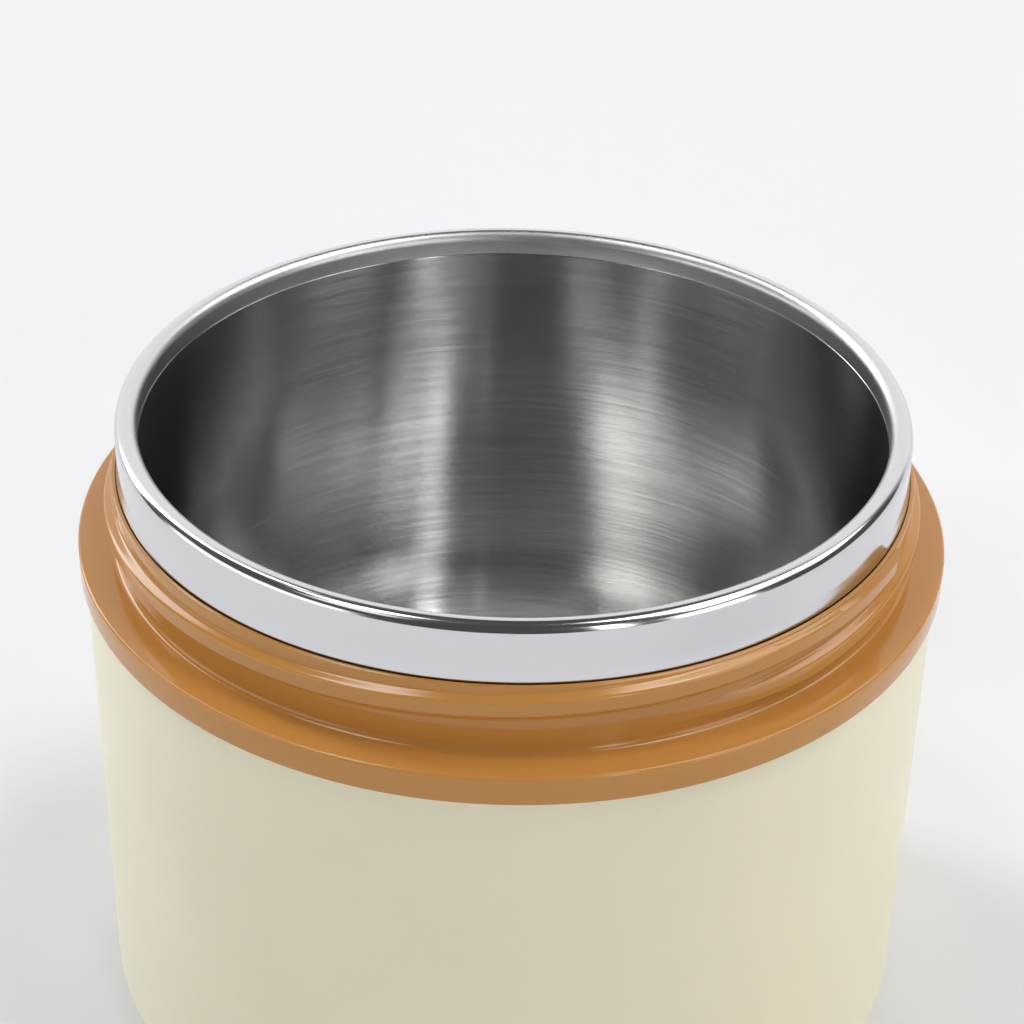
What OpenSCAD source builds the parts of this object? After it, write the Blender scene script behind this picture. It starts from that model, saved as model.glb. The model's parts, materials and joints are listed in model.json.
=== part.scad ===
// Insulated food jar: a steel vacuum bowl held in a moulded casing by a threaded collar,
// with its screw lid laid down behind it.
// Millimetres, +Z up. The origin is on the jar's axis, in the plane that the jar stands on.
// Every round piece is a profile turned about its own axis, so bores and seats are true.

/* [Bowl] */
// Inner radius of the bowl's straight wall
bowl_r = 51; // [45:0.5:70]
// Depth of the bowl from the top of the lip to its floor
bowl_depth = 81.5; // [60:0.5:110]
// Radius of the corner between the bowl's wall and its floor
bowl_corner_r = 26; // [12:1:30]
// Sheet thickness of the bowl
liner_t = 0.5; // [0.4:0.05:0.8]

/* [Vacuum vessel] */
// Radius of the rolled lip's round section
lip_bead_r = 1.5; // [1.2:0.1:1.9]
// Length of the lip's leg inside the mouth, from its round section down to the bowl's edge
lip_leg_h = 2; // [1:0.1:4]
// Height of the polished band below the centre of the rolled lip
band_h = 6.4; // [5:0.2:9]
// Sheet thickness of the vessel's wall and base
vessel_t = 0.6; // [0.4:0.05:0.8]
// Vacuum gap between the bowl and the vessel's neck
neck_gap = 0.8; // [0.6:0.1:1.1]
// Vacuum gap between the bowl and the vessel's main wall
wall_gap = 3.9; // [3.4:0.1:6]
// Vacuum gap under the bowl's floor
base_gap = 7.6; // [6.5:0.1:12]
// Height over which the band steps in to the neck
joggle_h = 1.6; // [1.2:0.1:2.4]
// Corner radius round the edge of the vessel's base
base_corner_r = 4; // [2:0.5:5]
// Height of the base's upstanding edge, where it meets the wall
base_edge_h = 6.2; // [5.5:0.1:9]
// Radius of the raised middle of the base
dimple_r = 13; // [9:0.5:16]
// Rise of the middle of the base
dimple_h = 2.4; // [2:0.1:3.2]
// Radius of the hole that the vessel is pumped out through
pump_hole_r = 1; // [0.6:0.1:1.5]

/* [Inner fittings] */
// Radius of the getter capsule
getter_r = 4; // [2.5:0.5:6]
// Height of the getter capsule
getter_h = 2.6; // [1.5:0.1:4]
// Distance of the getter capsule from the axis
getter_at = 30; // [20:1:38]
// Radius of the glass seal over the pump hole
seal_r = 3; // [2:0.1:4]
// Height of the glass seal under the base
seal_h = 1.3; // [0.8:0.1:1.8]
// Thickness of the heat-reflecting foil
foil_t = 0.12; // [0.05:0.01:0.2]
// Height of the heat-reflecting foil
foil_h = 28; // [18:1:50]
// Gap between the bowl and the foil
foil_gap = 0.15; // [0.1:0.05:0.3]

/* [Collar] */
// Gap between the polished band and the top edge of the collar
collar_gap = 0.35; // [0.25:0.05:0.8]
// Wall of the collar at its top edge
collar_lip_t = 0.55; // [0.45:0.05:1.5]
// Drop from the foot of the band to the top of the collar
collar_drop = 0.3; // [0.1:0.05:0.8]
// Height of the threaded neck above the flange
neck_h = 9.8; // [9.4:0.1:14]
// Thickness of the flange
flange_t = 4.2; // [3:0.1:6]
// Overhang of the flange past the casing
flange_overhang = 0.8; // [0.4:0.1:2]
// Rounding of the flange's corners
flange_round = 0.45; // [0.2:0.05:1]
// Clearance between the collar and the vessel's neck
collar_fit = 0.2; // [0.1:0.05:0.4]
// Wall of the spigot that plugs into the casing
spigot_t = 1.15; // [0.9:0.05:2]
// Length of the spigot
spigot_h = 7; // [5:0.5:12]
// Height of the snap bead on the spigot
snap_h = 0.3; // [0.15:0.05:0.4]
// Distance of the snap bead from the end of the spigot
snap_up = 2.4; // [2:0.1:3]

/* [Thread] */
// Number of thread starts
thread_starts = 2; // [1:1:3]
// Distance between neighbouring ridges along the axis
thread_pitch = 4.8; // [4.6:0.1:6]
// Angle that each ridge of the collar runs through
thread_sweep = 227; // [150:1:240]
// Height of a ridge above the neck
ridge_h = 1.2; // [0.9:0.05:1.4]
// Width of a ridge's flat crest
ridge_crest = 2; // [1.4:0.1:2.1]
// Width of the sloping flank above the crest
ridge_top_flank = 0.65; // [0.4:0.05:0.8]
// Width of the sloping flank below the crest
ridge_low_flank = 1.2; // [0.8:0.05:1.3]
// Height by which the first ridge would pass the collar's top, where it is cut level
thread_rise = 0.2; // [0:0.05:0.4]
// Direction of the first ridge's upper end, from the front (-Y) towards +X
thread_start_az = 66; // [0:1:180]

/* [Casing] */
// Wall of the casing
shell_t = 1.6; // [1.2:0.1:3]
// Thickness of the casing's floor
shell_floor_t = 2.6; // [2.2:0.1:4]
// Rounding round the foot of the casing
shell_round = 6; // [4:0.5:8]
// Running gap between the vessel's wall and the spigot
vessel_fit = 0.3; // [0.2:0.05:0.6]
// Running gap between the spigot and the casing
shell_fit = 0.15; // [0.1:0.05:0.3]
// Thickness of the seal between the vessel's shoulder and the collar
neck_seal_t = 2.3; // [1.8:0.1:3.5]
// Radial width of that seal
neck_seal_w = 1.8; // [1.2:0.1:1.9]
// Thickness of the cushion under the vessel
cushion_t = 2.4; // [1.5:0.1:4]
// Outer radius of the cushion
cushion_r = 46; // [40:0.5:50]
// Radial width of the cushion
cushion_w = 24; // [10:1:28]

/* [Foot ring] */
// Outer radius of the foot ring
foot_r = 50; // [44:0.5:52]
// Radial width of the foot ring
foot_w = 5; // [3:0.5:8]
// Height of the foot ring that stands below the casing
foot_stand = 0.8; // [0.4:0.1:2]
// Depth of the groove that holds the foot ring
foot_groove = 1.4; // [0.8:0.1:1.6]
// Gap between the foot ring and the walls of its groove
foot_fit = 0.15; // [0.05:0.05:0.3]

/* [Lid] */
// Distance from the jar's axis to the axis of the lid laid behind it
lid_apart = 130; // [124:1:180]
// Gap between the flange and the lid when it is screwed down
lid_seat_gap = 0.3; // [0.2:0.05:1]
// Radial gap between the collar's ridges and the lid's bore
lid_thread_gap = 0.35; // [0.2:0.05:0.6]
// Axial gap between the flanks of the two threads
lid_flank_gap = 0.35; // [0.2:0.05:0.4]
// Angle that each ridge of the lid runs through
lid_sweep = 110; // [60:5:150]
// Direction of the upper end of the lid's first ridge, from the front (-Y) towards +X
lid_start_az = 90; // [70:1:180]
// Wall of the lid's threaded skirt
lid_skirt_t = 1.4; // [1:0.1:2.5]
// Height of the ledge in the skirt that carries the plate
lid_ledge_h = 1.2; // [0.8:0.1:2]
// Thickness of the lid's inner plate
lid_plate_t = 1.8; // [1.2:0.1:3]
// Depth of the rim that centres the lid in the mouth
lid_rim_h = 6; // [3:0.5:10]
// Wall of that rim
lid_rim_t = 1.7; // [1.2:0.1:3]
// Gap between that rim and the bowl
lid_rim_fit = 0.4; // [0.2:0.05:1]
// Thickness of the lid's seal
lid_seal_t = 2; // [1.5:0.1:4]
// Radial width of the lid's seal
lid_seal_w = 3.8; // [3:0.1:4.5]
// Thickness of the insulating disc
lid_foam_t = 3.4; // [2:0.1:10]
// Wall of the lid's cover
lid_cover_t = 1.65; // [1.2:0.05:2.5]
// Thickness of the cover's top
lid_top_t = 2; // [1.6:0.1:3]
// Rounding round the top of the cover
lid_round = 5; // [3:0.5:6]
// Depth of the shallow dish in the cover's top
lid_dish = 0.6; // [0.2:0.1:0.9]
// Width of the raised border round that dish
lid_border = 10; // [7:0.5:16]
// Height of the hook that holds the cover on the skirt
lid_hook_h = 1; // [0.6:0.1:1.8]
// Gap between the cover and the skirt
lid_fit = 0.1; // [0.05:0.05:0.3]

/* [Hidden] */
$fn = 96;

// Heights, from the foot up
shell_z = foot_stand;
cushion_z = shell_z + shell_floor_t;
base_z = cushion_z + cushion_t;
liner_z = base_z + vessel_t + base_gap;
bowl_floor_z = liner_z + liner_t;
lip_z = bowl_floor_z + bowl_depth;
bead_z = lip_z - lip_bead_r;
seam_z = bead_z - lip_leg_h;
band_z = bead_z - band_h;
collar_z = band_z - collar_drop;
flange_z = collar_z - neck_h;
shell_top_z = flange_z - flange_t;
shoulder_z = shell_top_z - neck_seal_t;
wall_foot_z = base_z + base_edge_h;

// Radii, from the bowl out
liner_out_r = bowl_r + liner_t;
bead_mid_r = bowl_r + lip_bead_r;
band_r = bead_mid_r + lip_bead_r;
vessel_neck_r = liner_out_r + neck_gap + vessel_t;
vessel_r = liner_out_r + wall_gap + vessel_t;
collar_in_r = vessel_neck_r + collar_fit;
collar_lip_r = band_r + collar_gap;
neck_r = collar_lip_r + collar_lip_t;
crest_r = neck_r + ridge_h;
spigot_in_r = vessel_r + vessel_fit;
spigot_r = spigot_in_r + spigot_t;
shell_in_r = spigot_r + shell_fit;
shell_r = shell_in_r + shell_t;
flange_r = shell_r + flange_overhang;

// Small radii, chamfers and fits
edge = 0.2;
shoulder_round = 1;
neck_round = 0.8;
dimple_wall = 2;
seal_fit = 0.05;

// Thread: its heights are those of the crest's upper corner
thread_lead = thread_starts * thread_pitch;
thread_top_z = collar_z + thread_rise;
// Angles over which a ridge rises from the neck at its upper and lower end
blunt_angle = 4;
taper_angle = 24;
// Angle between two sections of a ridge
sweep_step = 2.5;
// Depth to which a ridge is sunk into the neck, and the softening of its crest's corners
ridge_sink = 0.3;
ridge_round = 0.25;
// Share of the full height at which a ridge's ends stop
least_share = 0.06;

// Lid, measured from the lower edge of its cover
lid_seat_z = flange_z + lid_seat_gap;
lid_bore_r = crest_r + lid_thread_gap;
lid_skirt_r = lid_bore_r + lid_skirt_t;
lid_cover_in_r = lid_skirt_r + lid_fit;
lid_cover_r = lid_cover_in_r + lid_cover_t;
lid_rim_r = bowl_r - lid_rim_fit;
lid_seal_z = lip_z - lid_seat_z;
lid_plate_z = lid_seal_z + lid_seal_t;
lid_foam_z = lid_plate_z + lid_plate_t;
lid_top_z = lid_foam_z + lid_foam_t;
lid_crest_r = neck_r + lid_thread_gap;
lid_ridge_h = lid_bore_r - lid_crest_r;

// Points from [x, z] to [x + dx, z + dz] that leave and arrive upright
function s_curve(x, z, dx, dz, n = 8) =
    [for (i = [0:n]) let (t = i / n) [x + dx * (1 - cos(180 * t)) / 2, z + dz * t]];

// The same list from its end to its start
function turned_round(list) = [for (i = [len(list) - 1:-1:0]) list[i]];

// A square corner at [x, z] less its round: cut off an outer corner, or set into an inner one.
// The arc's centre lies in the direction [sx, sz] from the corner.
module corner(x, z, r, sx, sz) {
    translate([x, z]) mirror([sx < 0 ? 1 : 0, 0]) mirror([0, sz < 0 ? 1 : 0]) difference() {
        translate([-edge, -edge]) square(r + edge);
        translate([r, r]) circle(r);
    }
}

// Half profile of a solid cup with a rounded foot
module cup_profile(r, low, high, foot_round) {
    difference() {
        translate([0, low]) square([r, high - low]);
        corner(r, low, foot_round, -1, 1);
    }
}

// Half profile of a solid cap with a rounded top
module cap_profile(r, low, high, top_round) {
    translate([0, low + high]) mirror([0, 1]) cup_profile(r, low, high, top_round);
}

// Half profile of a ring with softened edges
module ring_profile(inner_r, outer_r, low, high, soft = 0) {
    polygon([
        [inner_r + soft, low], [outer_r - soft, low], [outer_r, low + soft],
        [outer_r, high - soft], [outer_r - soft, high], [inner_r + soft, high],
        [inner_r, high - soft], [inner_r, low + soft]
    ]);
}

// Height of the crest's upper corner at an azimuth from the front, for the first ridge
function thread_z(azimuth) = thread_top_z + (azimuth - thread_start_az) * thread_lead / 360;

// Share of the full ridge height at an angle below its upper end: blunt there, tapered below
function ridge_share(turn, sweep) =
    let (
        blunt = sqrt(1 - pow(1 - min(turn / blunt_angle, 1), 2)),
        taper = min((sweep - turn) / taper_angle, 1)
    )
    max(least_share, min(blunt, taper));

// One section of a ridge: r and z round the crest, for flanks that widen towards the root.
// side is 1 for a ridge that stands outwards and -1 for one that stands inwards.
function ridge_section(z, share, side, root_r, full_h, crest, upper, lower, top_limit) =
    let (
        root = root_r - side * ridge_sink,
        tip = root + side * (full_h + ridge_sink) * share,
        k = (tip - root) * side / full_h,
        soft = ridge_round * share,
        raw = [
            [root, z + upper * k], [tip - side * soft, z + upper * soft / full_h],
            [tip, z - soft], [tip, z - crest + soft],
            [tip - side * soft, z - crest - lower * soft / full_h], [root, z - crest - lower * k]
        ]
    )
    [for (p = raw) [p[0], min(p[1], top_limit)]];

// A helical ridge, as one closed sweep
module ridge(azimuth, z, sweep, side, root_r, full_h, crest, upper, lower, top_limit) {
    steps = ceil(sweep / sweep_step);
    sections = [for (i = [0:steps])
        let (turn = sweep * i / steps, a = azimuth - turn)
        [for (p = ridge_section(z - turn * thread_lead / 360, ridge_share(turn, sweep), side,
            root_r, full_h, crest, upper, lower, top_limit))
            [p[0] * sin(a), -p[0] * cos(a), p[1]]]];
    n = len(sections[0]);
    points = [for (s = sections) for (p = s) p];
    walls = [for (i = [0:steps - 1]) for (j = [0:n - 1])
        let (k = (j + 1) % n)
        [i * n + j, i * n + k, (i + 1) * n + k, (i + 1) * n + j]];
    first = [for (j = [n - 1:-1:0]) j];
    last = [for (j = [0:n - 1]) steps * n + j];
    faces = concat([first], walls, [last]);
    polyhedron(points, side > 0 ? faces : [for (f = faces) [for (j = [len(f) - 1:-1:0]) f[j]]]);
}

// Steel bowl: straight wall, wide corner, flat floor, one sheet thick
module inner_liner() {
    color("#8f9296") rotate_extrude() difference() {
        cup_profile(liner_out_r, liner_z, seam_z, bowl_corner_r + liner_t);
        cup_profile(bowl_r, bowl_floor_z, seam_z + edge, bowl_corner_r);
    }
}

// Outer sheet: rolled lip with its leg on the bowl's edge, band, neck, shoulder and main wall
module vessel_wall() {
    step_in = vessel_neck_r - band_r;
    color("#d9dadb") rotate_extrude() difference() {
        polygon(concat(
            [[bowl_r, seam_z], [bowl_r, lip_z], [band_r, lip_z]],
            s_curve(band_r, band_z, step_in, -joggle_h),
            [[vessel_neck_r, shoulder_z], [vessel_r, shoulder_z], [vessel_r, wall_foot_z],
             [vessel_r - vessel_t, wall_foot_z], [vessel_r - vessel_t, shoulder_z - vessel_t],
             [vessel_neck_r - vessel_t, shoulder_z - vessel_t]],
            turned_round(s_curve(band_r - vessel_t, band_z, step_in, -joggle_h)),
            [[band_r - vessel_t, bead_z], [bowl_r + vessel_t, bead_z], [bowl_r + vessel_t, seam_z]]
        ));
        // the rolled lip's round section and its hollow
        corner(bowl_r, lip_z, lip_bead_r, 1, -1);
        corner(band_r, lip_z, lip_bead_r, -1, -1);
        translate([bead_mid_r, bead_z]) circle(lip_bead_r - vessel_t);
        corner(vessel_r, shoulder_z, shoulder_round, -1, -1);
    }
}

// Half profile of the raised middle of the base, standing on a height
module dimple_profile(z) {
    polygon([[0, z], [dimple_r + dimple_wall, z], [dimple_r, z + dimple_h], [0, z + dimple_h]]);
}

// Pressed base that closes the vacuum, with a raised middle and the pump hole
module vessel_base() {
    sheet_z = base_z + vessel_t;
    color("#a9abad") rotate_extrude() difference() {
        union() {
            difference() {
                cup_profile(vessel_r, base_z, wall_foot_z, base_corner_r);
                cup_profile(vessel_r - vessel_t, sheet_z, wall_foot_z + edge, base_corner_r - vessel_t);
            }
            dimple_profile(sheet_z);
        }
        dimple_profile(base_z);
        translate([0, base_z]) square([pump_hole_r, dimple_h + 2 * vessel_t]);
    }
}

// Capsule that takes up stray gas, welded to the base inside the vacuum
module getter() {
    color("#55565a") translate([getter_at, 0, base_z + vessel_t]) rotate_extrude() difference() {
        square([getter_r, getter_h]);
        corner(getter_r, getter_h, edge, -1, -1);
    }
}

// Glass seal over the pump hole, sheltered under the raised middle of the base
module pump_seal() {
    top = base_z + dimple_h;
    stem_r = pump_hole_r - seal_fit;
    color("#9db3a8") rotate_extrude() polygon([
        [0, top - seal_h], [seal_r / 2, top - seal_h], [seal_r, top],
        [stem_r, top], [stem_r, top + vessel_t], [0, top + vessel_t]
    ]);
}

// Foil wrapped round the bowl's straight wall
module heat_foil() {
    low = bowl_floor_z + bowl_corner_r + edge;
    color("#e3e4e6") rotate_extrude()
        ring_profile(liner_out_r + foil_gap, liner_out_r + foil_gap + foil_t, low, low + foil_h);
}

// Collar: threaded neck, flange and the spigot with a snap bead
module threaded_collar() {
    spigot_z = shell_top_z - spigot_h;
    snap_z = spigot_z + snap_up;
    color("#b9783a") union() {
        rotate_extrude() {
            difference() {
                polygon([
                    [collar_lip_r, collar_z], [neck_r, collar_z],
                    [neck_r, flange_z], [flange_r, flange_z],
                    [flange_r, shell_top_z], [spigot_r, shell_top_z],
                    [spigot_r, snap_z + 2 * snap_h], [spigot_r + snap_h, snap_z + snap_h / 2],
                    [spigot_r + snap_h, snap_z - snap_h / 2], [spigot_r, snap_z - 2 * snap_h],
                    [spigot_r, spigot_z + edge], [spigot_r - edge, spigot_z],
                    [spigot_in_r, spigot_z], [spigot_in_r, shell_top_z],
                    [collar_in_r, shell_top_z],
                    [collar_in_r, band_z - joggle_h - collar_gap], [collar_lip_r, band_z - 2 * collar_gap]
                ]);
                corner(neck_r, collar_z, edge, -1, -1);
                corner(flange_r, flange_z, flange_round, -1, -1);
                corner(flange_r, shell_top_z, flange_round, -1, 1);
            }
            corner(neck_r, flange_z, neck_round, 1, 1);
        }
        for (i = [0:thread_starts - 1])
            ridge(thread_start_az + i * 360 / thread_starts, thread_top_z, thread_sweep, 1, neck_r,
                ridge_h, ridge_crest, ridge_top_flank, ridge_low_flank, collar_z - edge);
    }
}

// Ring that seals and cushions the vessel's shoulder under the collar
module neck_seal() {
    color("#c9c6bd") rotate_extrude()
        ring_profile(collar_in_r, collar_in_r + neck_seal_w, shoulder_z, shell_top_z, edge);
}

// Casing: a cup with a rounded foot, a groove for the foot ring and one for the snap bead
module body_shell() {
    snap_z = shell_top_z - spigot_h + snap_up;
    snap_cut = snap_h + shell_fit;
    color("#ddd6bf") rotate_extrude() difference() {
        cup_profile(shell_r, shell_z, shell_top_z, shell_round);
        cup_profile(shell_in_r, cushion_z, shell_top_z + edge, shell_round - shell_t);
        corner(shell_r, shell_top_z, edge, -1, -1);
        polygon([
            [shell_in_r - edge, snap_z + 2 * snap_cut], [shell_in_r, snap_z + 2 * snap_cut],
            [shell_in_r + snap_h, snap_z + snap_cut], [shell_in_r + snap_h, snap_z - snap_cut],
            [shell_in_r, snap_z - 2 * snap_cut], [shell_in_r - edge, snap_z - 2 * snap_cut]
        ]);
        ring_profile(foot_r - foot_w - foot_fit, foot_r + foot_fit, shell_z - edge,
            shell_z + foot_groove);
    }
}

// Soft ring between the casing's floor and the vessel
module cushion_ring() {
    color("#5d5f60") rotate_extrude()
        ring_profile(cushion_r - cushion_w, cushion_r, cushion_z, base_z, edge);
}

// Non-slip ring that the jar stands on
module foot_ring() {
    color("#d8d3c4") rotate_extrude()
        ring_profile(foot_r - foot_w, foot_r, 0, shell_z + foot_groove, edge);
}

// Turns a half profile about the axis of the lid, where it lies
module lid_turned() {
    translate([0, lid_apart, 0]) rotate_extrude() children();
}

// Cover of the lid, hooked under the skirt's lower edge
module lid_cover() {
    top = lid_top_z + lid_top_t;
    border_r = lid_cover_r - lid_border;
    color("#ddd6bf") lid_turned() difference() {
        cap_profile(lid_cover_r, 0, top, lid_round);
        cap_profile(lid_cover_in_r, lid_hook_h, lid_top_z, min(lid_round - lid_cover_t, lid_foam_t));
        translate([0, -edge]) square([lid_bore_r + lid_fit, lid_hook_h + 2 * edge]);
        corner(lid_cover_r, 0, flange_round, -1, 1);
        polygon([
            [0, top - lid_dish], [border_r - 2 * lid_dish, top - lid_dish], [border_r, top],
            [border_r, top + edge], [0, top + edge]
        ]);
    }
}

// Threaded skirt of the lid, with the ledge that carries the plate
module lid_skirt() {
    low = lid_hook_h + lid_fit;
    ledge_z = lid_plate_z - lid_ledge_h;
    // the lid's ridge runs between the flanks of two neighbouring ridges of the collar
    lap = (crest_r - lid_crest_r) / ridge_h;
    crest_z = thread_z(lid_start_az) - ridge_crest - lap * ridge_low_flank - lid_flank_gap - lid_seat_z;
    crest = thread_pitch - ridge_crest - lap * (ridge_low_flank + ridge_top_flank) - 2 * lid_flank_gap;
    upper = ridge_low_flank * lid_ridge_h / ridge_h;
    lower = ridge_top_flank * lid_ridge_h / ridge_h;
    color("#b9783a") union() {
        lid_turned() polygon([
            [lid_bore_r, low], [lid_skirt_r, low],
            [lid_skirt_r, lid_foam_z - edge], [lid_skirt_r - edge, lid_foam_z],
            [lid_bore_r, lid_foam_z], [lid_bore_r, lid_plate_z], [lid_crest_r, lid_plate_z],
            [lid_crest_r, ledge_z], [lid_bore_r, ledge_z - lid_ridge_h]
        ]);
        translate([0, lid_apart, 0]) for (i = [0:thread_starts - 1])
            ridge(lid_start_az + i * 360 / thread_starts, crest_z, lid_sweep, -1, lid_bore_r,
                lid_ridge_h, crest, upper, lower, ledge_z - lid_ridge_h);
    }
}

// Plate that closes the mouth, with the rim that centres the lid in it
module lid_plate() {
    rim_z = lid_plate_z - lid_rim_h;
    color("#b9783a") lid_turned() difference() {
        union() {
            ring_profile(lid_rim_r - lid_rim_t, lid_rim_r, rim_z, lid_foam_z);
            translate([0, lid_plate_z]) square([lid_bore_r - lid_fit, lid_plate_t]);
            corner(lid_rim_r - lid_rim_t, lid_plate_z, neck_round, -1, -1);
        }
        corner(lid_rim_r, rim_z, edge, -1, 1);
    }
}

// Insulating disc between the lid's plate and its cover
module lid_foam() {
    color("#eeece4") lid_turned() translate([0, lid_foam_z])
        square([lid_skirt_r - lid_round, lid_foam_t]);
}

// Seal that lands on the rolled lip
module lid_seal() {
    seal_in_r = lid_rim_r + lid_fit;
    color("#ecebe6") lid_turned()
        ring_profile(seal_in_r, seal_in_r + lid_seal_w, lid_seal_z, lid_plate_z, edge);
}

inner_liner();
vessel_wall();
vessel_base();
getter();
pump_seal();
heat_foil();
threaded_collar();
neck_seal();
body_shell();
cushion_ring();
foot_ring();
lid_cover();
lid_skirt();
lid_plate();
lid_foam();
lid_seal();
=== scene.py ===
"""Looks of the insulated food jar: camera, light, materials, and smooth skins of the turned steel
and of the threaded collar.

Everything is in metres in the frame of the CAD part: +Z up, the jar's axis on Z, the front at -Y.
An azimuth is in degrees from the front towards +X.
"""
import json
import math

import bmesh
import bpy
from mathutils import Matrix, Vector


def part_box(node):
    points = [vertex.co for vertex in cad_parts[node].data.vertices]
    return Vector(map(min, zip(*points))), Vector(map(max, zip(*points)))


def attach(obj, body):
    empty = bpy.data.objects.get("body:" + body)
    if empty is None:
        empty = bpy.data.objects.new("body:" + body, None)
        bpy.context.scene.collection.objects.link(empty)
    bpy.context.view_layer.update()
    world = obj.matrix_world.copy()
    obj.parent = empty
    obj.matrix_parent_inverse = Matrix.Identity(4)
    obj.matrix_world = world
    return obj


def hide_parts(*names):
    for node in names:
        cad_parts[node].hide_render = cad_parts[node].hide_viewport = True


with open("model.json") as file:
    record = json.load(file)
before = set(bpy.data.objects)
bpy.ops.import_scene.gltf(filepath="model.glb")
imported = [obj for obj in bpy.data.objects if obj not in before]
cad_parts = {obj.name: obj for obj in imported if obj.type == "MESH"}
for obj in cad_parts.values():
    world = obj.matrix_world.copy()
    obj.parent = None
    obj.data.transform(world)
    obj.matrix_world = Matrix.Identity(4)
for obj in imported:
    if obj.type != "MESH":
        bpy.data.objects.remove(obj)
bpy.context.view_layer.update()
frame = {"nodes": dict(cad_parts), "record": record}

MM = 0.001

# ---------------------------------------------------------------- sizes, in millimetres

# The bowl and the vessel round it
LIP_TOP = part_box("vessel_wall")[1][2] / MM
VESSEL_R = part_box("vessel_wall")[1][0] / MM
VESSEL_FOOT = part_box("vessel_wall")[0][2] / MM
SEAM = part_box("inner_liner")[1][2] / MM
LINER_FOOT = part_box("inner_liner")[0][2] / MM
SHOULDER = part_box("neck_seal")[0][2] / MM
LINER_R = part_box("inner_liner")[1][0] / MM
LINER_T = 0.5
BOWL_R = LINER_R - LINER_T
BOWL_CORNER_R = 26
VESSEL_T = 0.6
BEAD_R = 1.5
BEAD_Z = LIP_TOP - BEAD_R
BAND_R = BOWL_R + 2 * BEAD_R
BAND_H = 6.4
BAND_FOOT = BEAD_Z - BAND_H
# The band widens a little over its last stretch, so that it mirrors the table and not the collar
BAND_FLARE = 0.24
BAND_FLARE_H = 1.9
JOGGLE_H = 1.6
NECK_GAP = 0.8
VESSEL_NECK_R = LINER_R + NECK_GAP + VESSEL_T
SHOULDER_ROUND = 1.0
SEAM_ROUND = 0.12

# The collar
COLLAR_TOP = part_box("threaded_collar")[1][2] / MM
FLANGE_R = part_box("threaded_collar")[1][0] / MM
SPIGOT_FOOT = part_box("threaded_collar")[0][2] / MM
SHELL_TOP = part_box("body_shell")[1][2] / MM
NECK_H = 9.8
NECK_R = 54.9
BORE_R = 53.1
# To clear the band, the bore is wide at the top: straight down to the first of these depths below
# the collar's top, and narrower from there to the second
TOP_BORE_H = 0.3
FUNNEL_H = 1.6
TOP_BORE_R = 54.35
SPIGOT_IN_R = 56.3
SPIGOT_R = 57.45
FLANGE_TOP = COLLAR_TOP - NECK_H
FLANGE_ROUND = 0.45
NECK_ROUND = 0.8
EDGE = 0.2

# Its thread. THREAD_START is the azimuth of a ridge's blunt upper end, and a ridge's height is
# measured down from the upper corner of its crest, which at that end lies THREAD_OVER above the collar
THREAD_PITCH = 4.8
THREAD_STARTS = 2
THREAD_LEAD = THREAD_PITCH * THREAD_STARTS
THREAD_SWEEP = 227
THREAD_START = 66
THREAD_OVER = 0.2
THREAD_TOP = COLLAR_TOP + THREAD_OVER
RIDGE_H = 1.2
RIDGE_CREST = 2.0
TOP_FLANK = 0.65
LOW_FLANK = 1.2
CREST_ROUND = 0.2
ROOT_ROUND = 0.2
BLUNT_ANGLE = 4
TAPER_ANGLE = 24


# ---------------------------------------------------------------- small helpers

def srgb(red, green, blue):
    """A display colour, 0 to 255, as the linear colour that renders as it."""
    def linear(value):
        value /= 255
        return value / 12.92 if value <= 0.04045 else ((value + 0.055) / 1.055) ** 2.4
    return (linear(red), linear(green), linear(blue), 1.0)


def soft_plus(x, width):
    """x where it is positive and 0 elsewhere, with a round of that width between the two."""
    if x <= -width:
        return 0.0
    if x >= width:
        return x
    return (x + width) ** 2 / (4 * width)


def arc(x, z, radius, start, end, steps=6):
    """Points of an arc in the plane of a profile, from one angle to another, in degrees."""
    angles = [math.radians(start + (end - start) * i / steps) for i in range(steps + 1)]
    return [(x + radius * math.cos(a), z + radius * math.sin(a)) for a in angles]


def s_curve(x, z, dx, dz, steps=12):
    """Points from (x, z) to (x + dx, z + dz) that leave and arrive upright."""
    shares = [i / steps for i in range(steps + 1)]
    return [(x + dx * (1 - math.cos(math.pi * t)) / 2, z + dz * t) for t in shares]


# ---------------------------------------------------------------- shader nodes

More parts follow.
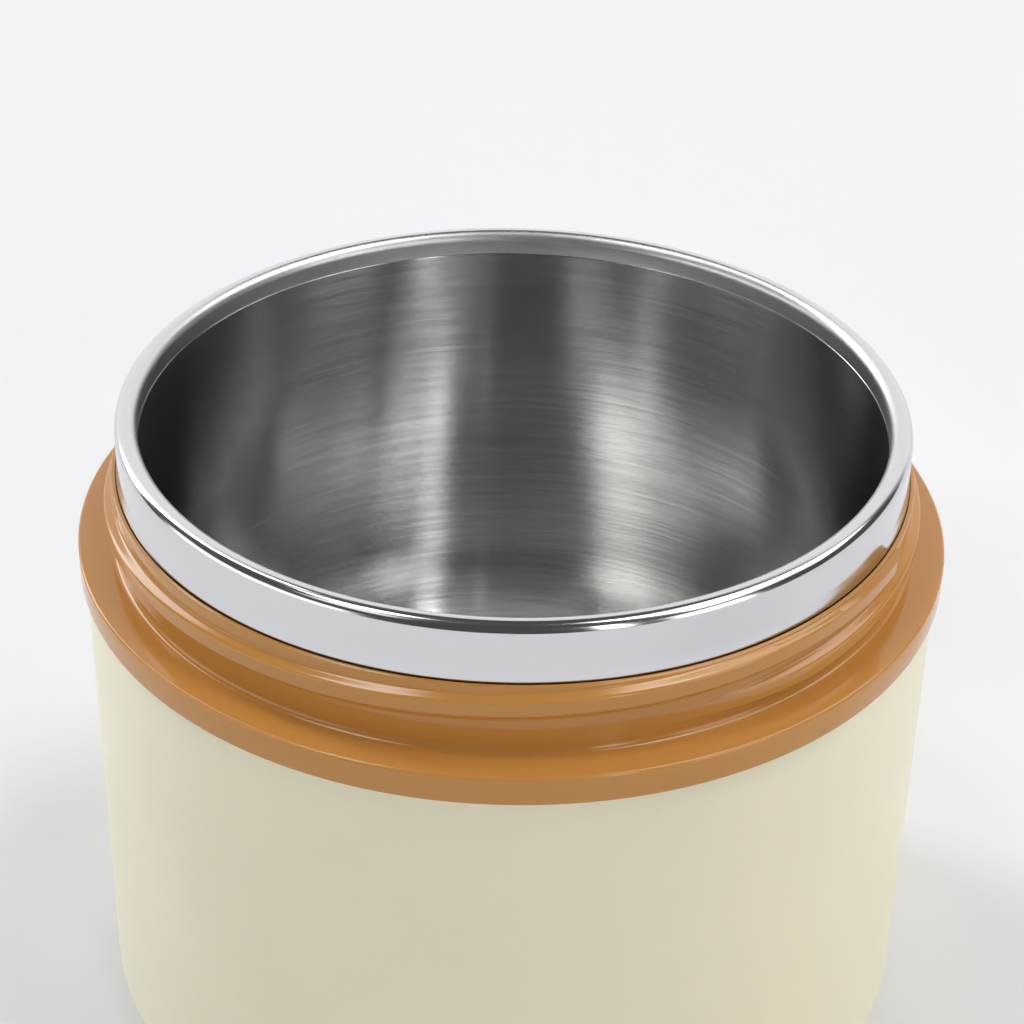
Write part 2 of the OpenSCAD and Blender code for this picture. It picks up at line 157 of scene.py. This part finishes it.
class Nodes:
    """A node tree, with short calls for the nodes that the materials and the world share."""

    def __init__(self, tree):
        self.tree = tree

    def node(self, kind, **values):
        made = self.tree.nodes.new(kind)
        for key, value in values.items():
            setattr(made, key, value)
        return made

    def feed(self, socket, value):
        """Sets a socket to a number or a tuple, or links another node's socket to it."""
        if isinstance(value, (int, float, tuple)):
            socket.default_value = value
        else:
            self.tree.links.new(value, socket)

    def math(self, operation, first, second=None, clamp=False):
        made = self.node("ShaderNodeMath", operation=operation, use_clamp=clamp)
        self.feed(made.inputs[0], first)
        if second is not None:
            self.feed(made.inputs[1], second)
        return made.outputs[0]

    def split(self, vector):
        """The three parts of a vector, as sockets."""
        made = self.node("ShaderNodeSeparateXYZ")
        self.feed(made.inputs[0], vector)
        return made.outputs[0], made.outputs[1], made.outputs[2]

    def vector(self, x, y, z):
        made = self.node("ShaderNodeCombineXYZ")
        for socket, value in zip(made.inputs, (x, y, z)):
            self.feed(socket, value)
        return made.outputs[0]

    def noise(self, vector, scale, detail=3.0, roughness=0.5):
        made = self.node("ShaderNodeTexNoise")
        for name, value in (("Vector", vector), ("Scale", scale),
                            ("Detail", detail), ("Roughness", roughness)):
            self.feed(made.inputs[name], value)
        return made.outputs["Fac"]

    def span(self, value, low, high, from_low=0.3, from_high=0.7, shape="LINEAR"):
        """A value mapped to run from low to high."""
        made = self.node("ShaderNodeMapRange", interpolation_type=shape)
        for name, number in (("Value", value), ("From Min", from_low), ("From Max", from_high),
                             ("To Min", low), ("To Max", high)):
            self.feed(made.inputs[name], number)
        return made.outputs[0]

    def mix(self, factor, first, second):
        """A mix of two colours. The node has sockets of one name for each kind of value, so the
        colours' own are called by number."""
        made = self.node("ShaderNodeMix", data_type="RGBA")
        self.feed(made.inputs["Factor"], factor)
        self.feed(made.inputs[6], first)
        self.feed(made.inputs[7], second)
        return made.outputs[2]

    def within(self, value, low, high, soft):
        """1 where a value lies between two limits and 0 elsewhere, with soft ends."""
        rise = self.span(value, 0, 1, low - soft, low + soft, "SMOOTHSTEP")
        fall = self.span(value, 1, 0, high - soft, high + soft, "SMOOTHSTEP")
        return self.math("MULTIPLY", rise, fall)


class Shader(Nodes):
    """A material's nodes round its shader."""

    def __init__(self, name):
        self.material = bpy.data.materials.new(name)
        self.material.use_nodes = True
        super().__init__(self.material.node_tree)
        self.bsdf = self.tree.nodes["Principled BSDF"]

    def set(self, **values):
        """Feeds sockets of the shader by name, with spaces for underscores."""
        for key, value in values.items():
            self.feed(self.bsdf.inputs[key.replace("_", " ")], value)

    def place(self):
        """The point being shaded, in the part's frame."""
        return self.node("ShaderNodeTexCoord").outputs["Object"]

    def round_place(self):
        """(azimuth in turns, radius, height) about the jar's axis, as three sockets."""
        x, y, z = self.split(self.place())
        azimuth = self.math("DIVIDE", self.math("ARCTAN2", x, y), 2 * math.pi)
        squares = self.math("ADD", self.math("MULTIPLY", x, x), self.math("MULTIPLY", y, y))
        return azimuth, self.math("SQRT", squares), z

    def ring_noise(self, per_turn, per_metre, detail, roughness=0.5):
        """Noise drawn out round the axis, with its scale in each turn and in each metre across."""
        azimuth, radius, height = self.round_place()
        place = self.vector(self.math("MULTIPLY", azimuth, per_turn),
                            self.math("MULTIPLY", radius, per_metre),
                            self.math("MULTIPLY", height, per_metre))
        return self.noise(place, scale=1.0, detail=detail, roughness=roughness)

    def bump(self, height, distance):
        """Bump of a height from 0 to 1, with its depth in metres."""
        made = self.node("ShaderNodeBump")
        for name, value in (("Strength", 1.0), ("Distance", distance), ("Height", height)):
            self.feed(made.inputs[name], value)
        self.set(Normal=made.outputs[0])


# ---------------------------------------------------------------- materials

CARAMEL = srgb(199, 141, 70)
CREAM = srgb(245, 240, 212)
STEEL = (0.68, 0.68, 0.69, 1)
BOWL_DARK = (0.47, 0.465, 0.455, 1)
BOWL_LIGHT = (0.64, 0.64, 0.64, 1)

# The lip is dull inside the first radius and polished outside the second
DULL_LIP_R = BOWL_R + 0.6
BRIGHT_LIP_R = BOWL_R + 1.3


def shade(colour, share):
    """A colour made darker or lighter by a share, and no lighter than white."""
    return tuple(min(c * share, 1.0) for c in colour[:3]) + (1.0,)


def moulded_plastic(name, colour, roughness, fine_bump):
    """Moulded plastic: faint clouding of the colour and a fine, uneven skin."""
    s = Shader(name)
    place = s.place()
    clouds = s.noise(place, scale=45, detail=4)
    dull = s.noise(place, scale=160, detail=2)
    s.set(Base_Color=s.mix(s.span(clouds, 0, 1), shade(colour, 0.985), shade(colour, 1.01)),
          Roughness=s.span(dull, roughness * 0.88, roughness * 1.12), IOR=1.5)
    s.bump(s.noise(place, scale=1100, detail=2), distance=fine_bump)
    return s.material


def polished_steel(name):
    """Polished sheet with faint buffing marks round the axis, dull and grainy towards the bowl."""
    s = Shader(name)
    lines = s.ring_noise(per_turn=30, per_metre=5200, detail=3)
    grain = s.noise(s.place(), scale=2400, detail=3, roughness=0.7)
    _, radius, _ = s.round_place()
    inside = s.span(radius, 1, 0, DULL_LIP_R * MM, BRIGHT_LIP_R * MM, "SMOOTHSTEP")
    dull = s.math("MULTIPLY", inside, s.span(grain, 0.16, 0.34))
    s.set(Base_Color=STEEL, Metallic=1.0, Roughness=s.math("ADD", s.span(lines, 0.10, 0.16), dull))
    inner_grain = s.math("MULTIPLY", inside, grain)
    s.bump(s.math("ADD", s.math("MULTIPLY", lines, 0.15), inner_grain), distance=0.000012)
    return s.material


def brushed_steel(name):
    """Steel brushed round the axis: fine grooves at one height on the wall, rings on the floor."""
    s = Shader(name)
    fine = s.ring_noise(per_turn=40, per_metre=9000, detail=3, roughness=0.6)
    scratches = s.ring_noise(per_turn=16, per_metre=2600, detail=4, roughness=0.7)
    tangent = s.node("ShaderNodeTangent", direction_type="RADIAL", axis="Z")
    s.set(Base_Color=s.mix(s.span(scratches, 0, 1), BOWL_DARK, BOWL_LIGHT), Metallic=1.0,
          Roughness=s.span(fine, 0.14, 0.20), Anisotropic=1.0, Anisotropic_Rotation=0.25,
          Tangent=tangent.outputs[0])
    s.bump(s.math("ADD", s.math("MULTIPLY", fine, 0.3), scratches), distance=0.0000015)
    return s.material


def plain_metal(name, colour, roughness):
    """Rolled or sintered metal that no light falls on in use."""
    s = Shader(name)
    dull = s.noise(s.place(), scale=220, detail=4)
    s.set(Base_Color=colour, Metallic=1.0, Roughness=s.span(dull, roughness * 0.8, roughness * 1.2))
    s.bump(s.noise(s.place(), scale=900), distance=0.00001)
    return s.material


def soft_rubber(name, colour):
    """Silicone or rubber with a dull, slightly grainy skin."""
    s = Shader(name)
    grain = s.noise(s.place(), scale=1500, detail=3)
    s.set(Base_Color=s.mix(s.span(grain, 0, 1), shade(colour, 0.9), colour), Roughness=0.62,
          IOR=1.43)
    s.bump(grain, distance=0.00002)
    return s.material


def foam(name, colour):
    """Closed foam: small round cells."""
    s = Shader(name)
    cells = s.node("ShaderNodeTexVoronoi")
    s.feed(cells.inputs["Scale"], 900)
    s.feed(cells.inputs["Vector"], s.place())
    depth = cells.outputs["Distance"]
    s.set(Base_Color=s.mix(depth, colour, shade(colour, 0.8)), Roughness=0.85)
    s.bump(depth, distance=0.0001)
    return s.material


def fused_glass(name):
    """Solder glass of the pump hole's seal."""
    s = Shader(name)
    s.set(Base_Color=(0.55, 0.66, 0.6, 1), IOR=1.52, Transmission_Weight=0.85,
          Roughness=s.span(s.noise(s.place(), scale=600), 0.05, 0.15))
    return s.material


MATERIALS = {
    "caramel_plastic": moulded_plastic("caramel plastic", CARAMEL, roughness=0.12, fine_bump=0.000001),
    "cream_shell": moulded_plastic("cream plastic", CREAM, roughness=0.36, fine_bump=0.000003),
    "polished_steel": polished_steel("polished steel"),
    "brushed_bowl": brushed_steel("brushed steel"),
    "plain_steel": plain_metal("rolled steel", (0.58, 0.58, 0.57, 1), roughness=0.35),
    "getter_steel": plain_metal("sintered metal", (0.22, 0.22, 0.23, 1), roughness=0.6),
    "foil": plain_metal("foil", (0.87, 0.87, 0.88, 1), roughness=0.15),
    "seal_glass": fused_glass("solder glass"),
    "pale_silicone": soft_rubber("pale silicone", srgb(226, 223, 212)),
    "dark_cushion": soft_rubber("cushion rubber", srgb(70, 71, 73)),
    "foam": foam("closed foam", srgb(236, 234, 226)),
}


def dress_nodes():
    """Gives each CAD node the material of its slot in the record."""
    for entry in frame["record"]["subparts"]:
        node = frame["nodes"][entry["node"]]
        node.data.materials.clear()
        node.data.materials.append(MATERIALS[entry["material_slot"]])


# ---------------------------------------------------------------- skins round the axis

# Points of a skin that lie nearer to each other than this, in millimetres, become one
MERGE = 0.001


def round_skin(name, columns):
    """A closed skin from columns of (azimuth, closed profile), the last where the first is.

    A profile is a list of (radius, height) in millimetres, as long in every column.
    """
    skin = bmesh.new()
    made = []
    for azimuth, profile in columns:
        a = math.radians(azimuth)
        made.append([skin.verts.new((r * math.sin(a) * MM, -r * math.cos(a) * MM, z * MM))
                     for r, z in profile])
    count = len(made[0])
    for left, right in zip(made, made[1:]):
        for i in range(count):
            k = (i + 1) % count
            skin.faces.new((left[i], right[i], right[k], left[k]))
    bmesh.ops.remove_doubles(skin, verts=skin.verts, dist=MERGE * MM)
    bmesh.ops.dissolve_degenerate(skin, edges=skin.edges, dist=MERGE * MM)
    bmesh.ops.recalc_face_normals(skin, faces=skin.faces)
    mesh = bpy.data.meshes.new(name)
    skin.to_mesh(mesh)
    skin.free()
    return mesh


def turned(name, profile, steps=720):
    """A closed profile turned about the jar's axis."""
    return round_skin(name, [(360 * i / steps, profile) for i in range(steps + 1)])


# ---------------------------------------------------------------- the turned steel

def vessel_profile():
    """The outer sheet: leg on the bowl's edge, rolled lip, band, neck, shoulder and wall."""
    step_in = VESSEL_NECK_R - BAND_R
    bead_mid = BOWL_R + BEAD_R
    shares = [i / 8 for i in range(8)]
    flare = [(BAND_R + BAND_FLARE * t * t, BAND_FOOT + BAND_FLARE_H * (1 - t)) for t in shares]
    outside = (
        arc(BOWL_R + SEAM_ROUND, SEAM + SEAM_ROUND, SEAM_ROUND, 270, 180, 4)
        + arc(bead_mid, BEAD_Z, BEAD_R, 180, 0, 36)
        + flare
        + s_curve(BAND_R + BAND_FLARE, BAND_FOOT, step_in - BAND_FLARE, -JOGGLE_H)
        + [(VESSEL_NECK_R, SHOULDER)]
        + arc(VESSEL_R - SHOULDER_ROUND, SHOULDER - SHOULDER_ROUND, SHOULDER_ROUND, 90, 0)
        + [(VESSEL_R, VESSEL_FOOT)]
    )
    inside = (
        [(VESSEL_R - VESSEL_T, VESSEL_FOOT), (VESSEL_R - VESSEL_T, SHOULDER - VESSEL_T),
         (VESSEL_NECK_R - VESSEL_T, SHOULDER - VESSEL_T)]
        + s_curve(BAND_R - VESSEL_T, BAND_FOOT, step_in, -JOGGLE_H)[::-1]
        + arc(bead_mid, BEAD_Z, BEAD_R - VESSEL_T, 0, 180, 16)
        + [(BOWL_R + VESSEL_T, SEAM)]
    )
    return outside + inside


def bowl_profile():
    """The bowl: one sheet with a wide corner, its edge softened where it meets the lip's leg."""
    corner_x = BOWL_R - BOWL_CORNER_R
    floor_z = LINER_FOOT + LINER_T
    corner_z = floor_z + BOWL_CORNER_R
    return (
        [(0, floor_z)]
        + arc(corner_x, corner_z, BOWL_CORNER_R, 270, 360, 48)
        + arc(BOWL_R + SEAM_ROUND, SEAM - SEAM_ROUND, SEAM_ROUND, 180, 90, 4)
        + [(LINER_R, SEAM)]
        + arc(corner_x, corner_z, BOWL_CORNER_R + LINER_T, 360, 270, 24)
        + [(0, LINER_FOOT)]
    )


# ---------------------------------------------------------------- the threaded collar

def ridge_share(turn):
    """Share of the full ridge at an angle below its upper end: blunt there, tapered below."""
    if not 0 < turn < THREAD_SWEEP:
        return 0.0
    blunt = math.sqrt(1 - (1 - min(turn / BLUNT_ANGLE, 1)) ** 2)
    taper = min((THREAD_SWEEP - turn) / TAPER_ANGLE, 1)
    return min(blunt, taper * taper * (3 - 2 * taper))


def ridge_height(azimuth, z):
    """How far the thread stands out of the neck at an azimuth from the front and a height."""
    best = 0.0
    for start in range(THREAD_STARTS):
        turn = (THREAD_START + start * 360 / THREAD_STARTS - azimuth) % 360
        share = ridge_share(turn)
        if share == 0:
            continue
        below = THREAD_TOP - turn * THREAD_LEAD / 360 - z
        fall = (soft_plus(-below, CREST_ROUND) * RIDGE_H / TOP_FLANK
                + soft_plus(below - RIDGE_CREST, CREST_ROUND) * RIDGE_H / LOW_FLANK)
        best = max(best, soft_plus(share * RIDGE_H - fall, ROOT_ROUND))
    return best


# The mesh of the thread: its columns' steps in degrees, plain and at the ridges' blunt ends, how
# far the rows reach from a corner, in widths of its round, and a row's height above the ridge below
COLUMN_STEP = 0.5
END_STEP = 0.1
ROW_REACH = 1.3
LOW_ROW = 0.5


def neck_rows():
    """Heights of the mesh rows against the crest's upper corner: close together at each corner of
    the ridge's section, with one more row on the crest, on the lower flank and near the root."""
    corners = (TOP_FLANK, 0.0, -RIDGE_CREST, -RIDGE_CREST - LOW_FLANK)
    reach = ROW_REACH * max(CREST_ROUND, ROOT_ROUND)
    near_root = TOP_FLANK - THREAD_PITCH + LOW_ROW
    one_pitch = {round(c + k * reach / 3, 4) for c in corners for k in range(-3, 4)}
    one_pitch |= {round(v, 4) for v in (-RIDGE_CREST / 2, -RIDGE_CREST - LOW_FLANK / 2, near_root)}
    span = math.ceil((NECK_H + THREAD_LEAD) / THREAD_PITCH) + 1
    return sorted(v + k * THREAD_PITCH for v in one_pitch for k in range(-span, span + 1))


def neck_columns():
    """Azimuths of the mesh columns, closer together at the blunt ends of the ridges."""
    columns = {round(COLUMN_STEP * i, 3) for i in range(round(360 / COLUMN_STEP) + 1)}
    for start in range(THREAD_STARTS):
        end = THREAD_START + start * 360 / THREAD_STARTS
        columns |= {round(end - END_STEP * i, 3) for i in range(round(BLUNT_ANGLE / END_STEP))}
    return sorted(columns)


def collar_mesh():
    """The collar as one closed skin: the threaded neck, then the plain turned rest."""
    low = FLANGE_TOP + NECK_ROUND
    high = COLLAR_TOP - EDGE
    rows = neck_rows()
    plain = (
        [(NECK_R, high)]
        + arc(NECK_R - EDGE, high, EDGE, 0, 90, 4)
        + [(TOP_BORE_R, COLLAR_TOP), (TOP_BORE_R, COLLAR_TOP - TOP_BORE_H),
           (BORE_R, COLLAR_TOP - FUNNEL_H), (BORE_R, SHELL_TOP), (SPIGOT_IN_R, SHELL_TOP),
           (SPIGOT_IN_R, SPIGOT_FOOT), (SPIGOT_R - EDGE, SPIGOT_FOOT),
           (SPIGOT_R, SPIGOT_FOOT + EDGE), (SPIGOT_R, SHELL_TOP)]
        + arc(FLANGE_R - FLANGE_ROUND, SHELL_TOP + FLANGE_ROUND, FLANGE_ROUND, -90, 0)
        + arc(FLANGE_R - FLANGE_ROUND, FLANGE_TOP - FLANGE_ROUND, FLANGE_ROUND, 0, 90)
        + arc(NECK_R + NECK_ROUND, FLANGE_TOP + NECK_ROUND, NECK_ROUND, -90, -180)[:-1]
    )
    columns = []
    for azimuth in neck_columns():
        corner_z = THREAD_TOP - (THREAD_START - azimuth) * THREAD_LEAD / 360
        heights = [min(max(corner_z + v, low), high) for v in rows]
        neck = [(NECK_R + ridge_height(azimuth % 360, z), z) for z in heights]
        columns.append((azimuth, neck + plain))
    return round_skin("collar", columns)


# ---------------------------------------------------------------- pieces

# Edges that turn by more than this are drawn sharp
SHARP_ANGLE = math.radians(40)


def add_piece(name, mesh, material_slot, body):
    """Adds a mesh to the object as a piece that rides on a body."""
    piece = bpy.data.objects.new(name, mesh)
    bpy.context.scene.collection.objects.link(piece)
    mesh.materials.append(MATERIALS[material_slot])
    mesh.polygons.foreach_set("use_smooth", [True] * len(mesh.polygons))
    mesh.set_sharp_from_angle(angle=SHARP_ANGLE)
    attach(piece, body)
    return piece


# ---------------------------------------------------------------- stage, light and camera

# The floor's colour to the camera and to mirrors, and to the light that it throws back
FLOOR_SEEN = srgb(234, 235, 239)
FLOOR_BOUNCE = srgb(212, 212, 212)

# What stands round the jar, by direction: azimuths, elevations and softness of the edges in
# degrees, and the light's colour and strength. DARK_ROOM is the light from everywhere else.
DARK_ROOM = 0.08
STUDIO = {
    "backdrop": ((130, 230), (-30, 50), 8, (0.95, 0.96, 0.97)),
    "right softbox": ((94, 121), (31, 68), 4, (3.9, 3.84, 3.73)),
    "right ceiling": ((60, 92), (60, 77), 4, (7.8, 7.7, 7.55)),
    "right window": ((56, 93), (37, 58), 4, (2.4, 2.37, 2.3)),
    "right wall": ((43, 66), (-10, 26), 4, (2.4, 2.34, 2.22)),
    "left softbox": ((-133, -118), (4, 62), 1.5, (6.0, 6.0, 6.1)),
    "left ceiling": ((-96, -60), (60, 75), 3, (8.0, 8.1, 8.3)),
    "left window": ((-68, -38), (42, 58), 5, (1.3, 1.32, 1.36)),
    "left wall": ((-100, -42), (-30, 16), 6, (2.0, 2.0, 2.02)),
    "door slit": ((24, 31), (4, 40), 1.5, (4.4, 4.3, 4.1)),
}


def add_floor():
    """Plain pale floor, far wider than the picture."""
    half = 3.0
    mesh = bpy.data.meshes.new("floor")
    mesh.from_pydata([(-half, -half, 0), (half, -half, 0), (half, half, 0), (-half, half, 0)], [],
                     [(0, 1, 2, 3)])
    floor = bpy.data.objects.new("floor", mesh)
    bpy.context.scene.collection.objects.link(floor)
    s = Shader("floor")
    rays = s.node("ShaderNodeLightPath").outputs
    seen = s.math("ADD", rays["Is Camera Ray"],
                  s.math("ADD", rays["Is Glossy Ray"], rays["Is Transmission Ray"]), clamp=True)
    s.set(Base_Color=s.mix(seen, FLOOR_BOUNCE, FLOOR_SEEN), Roughness=0.9, Specular_IOR_Level=0.0)
    mesh.materials.append(s.material)


def add_world():
    """The studio, drawn by direction: pale backdrop, windows at the sides, dark camera side."""
    world = bpy.data.worlds.new("studio")
    bpy.context.scene.world = world
    world.use_nodes = True
    n = Nodes(world.node_tree)
    x, y, z = n.split(n.node("ShaderNodeTexCoord").outputs["Generated"])
    azimuth = n.math("DEGREES", n.math("ARCTAN2", x, n.math("MULTIPLY", y, -1)))
    elevation = n.math("DEGREES", n.math("ARCSINE", z))
    light = n.vector(DARK_ROOM, DARK_ROOM, DARK_ROOM)
    for (az_low, az_high), (el_low, el_high), soft, colour in STUDIO.values():
        if az_high > 180:
            # across the back, where the azimuth jumps: measured from there, the same both ways
            back = n.math("SUBTRACT", 180, n.math("ABSOLUTE", azimuth))
            across = n.span(back, 1, 0, 180 - az_low - soft, 180 - az_low + soft, "SMOOTHSTEP")
        else:
            across = n.within(azimuth, az_low, az_high, soft)
        share = n.math("MULTIPLY", across, n.within(elevation, el_low, el_high, soft))
        scaled = n.node("ShaderNodeVectorMath", operation="SCALE")
        n.feed(scaled.inputs[0], colour)
        n.feed(scaled.inputs["Scale"], share)
        total = n.node("ShaderNodeVectorMath", operation="ADD")
        n.feed(total.inputs[0], light)
        n.feed(total.inputs[1], scaled.outputs[0])
        light = total.outputs[0]
    n.feed(n.tree.nodes["Background"].inputs["Color"], light)


def add_camera():
    """The photograph's camera, fitted to the lip, the ridges and the flange. It stands at a distance
    in millimetres from the middle of the lip's bead, and its focal length is in picture pixels."""
    focal_pixels = 2479.3
    picture = 1024
    distance = 338.3
    elevation = math.radians(30.007)
    extra_pitch = math.radians(2.398)
    roll = math.radians(1.216)
    place = Vector((0, -distance * math.cos(elevation), BEAD_Z + distance * math.sin(elevation)))
    ahead = Vector((0, math.cos(elevation), -math.sin(elevation)))
    above = Vector((0, math.sin(elevation), math.cos(elevation)))
    forward = math.cos(extra_pitch) * ahead - math.sin(extra_pitch) * above
    level_right = Vector((1, 0, 0))
    level_up = level_right.cross(forward)
    right = math.cos(roll) * level_right + math.sin(roll) * level_up
    up = -math.sin(roll) * level_right + math.cos(roll) * level_up
    data = bpy.data.cameras.new("camera")
    data.sensor_fit = "HORIZONTAL"
    data.sensor_width = 36
    data.lens = data.sensor_width * focal_pixels / picture
    data.clip_start = 0.01
    camera = bpy.data.objects.new("camera", data)
    axes = Matrix((right, up, -forward)).transposed().to_4x4()
    camera.matrix_world = Matrix.Translation(place * MM) @ axes
    bpy.context.scene.collection.objects.link(camera)
    bpy.context.scene.camera = camera


# ---------------------------------------------------------------- the scene

bpy.context.scene.view_settings.view_transform = "Standard"
add_camera()
add_floor()
add_world()
dress_nodes()
collar = add_piece("collar", collar_mesh(), "caramel_plastic", "jar")
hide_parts("threaded_collar")
wall = add_piece("rolled_lip_and_wall", turned("wall", vessel_profile()), "polished_steel", "jar")
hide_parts("vessel_wall")
bowl = add_piece("bowl", turned("bowl", bowl_profile()), "brushed_bowl", "jar")
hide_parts("inner_liner")
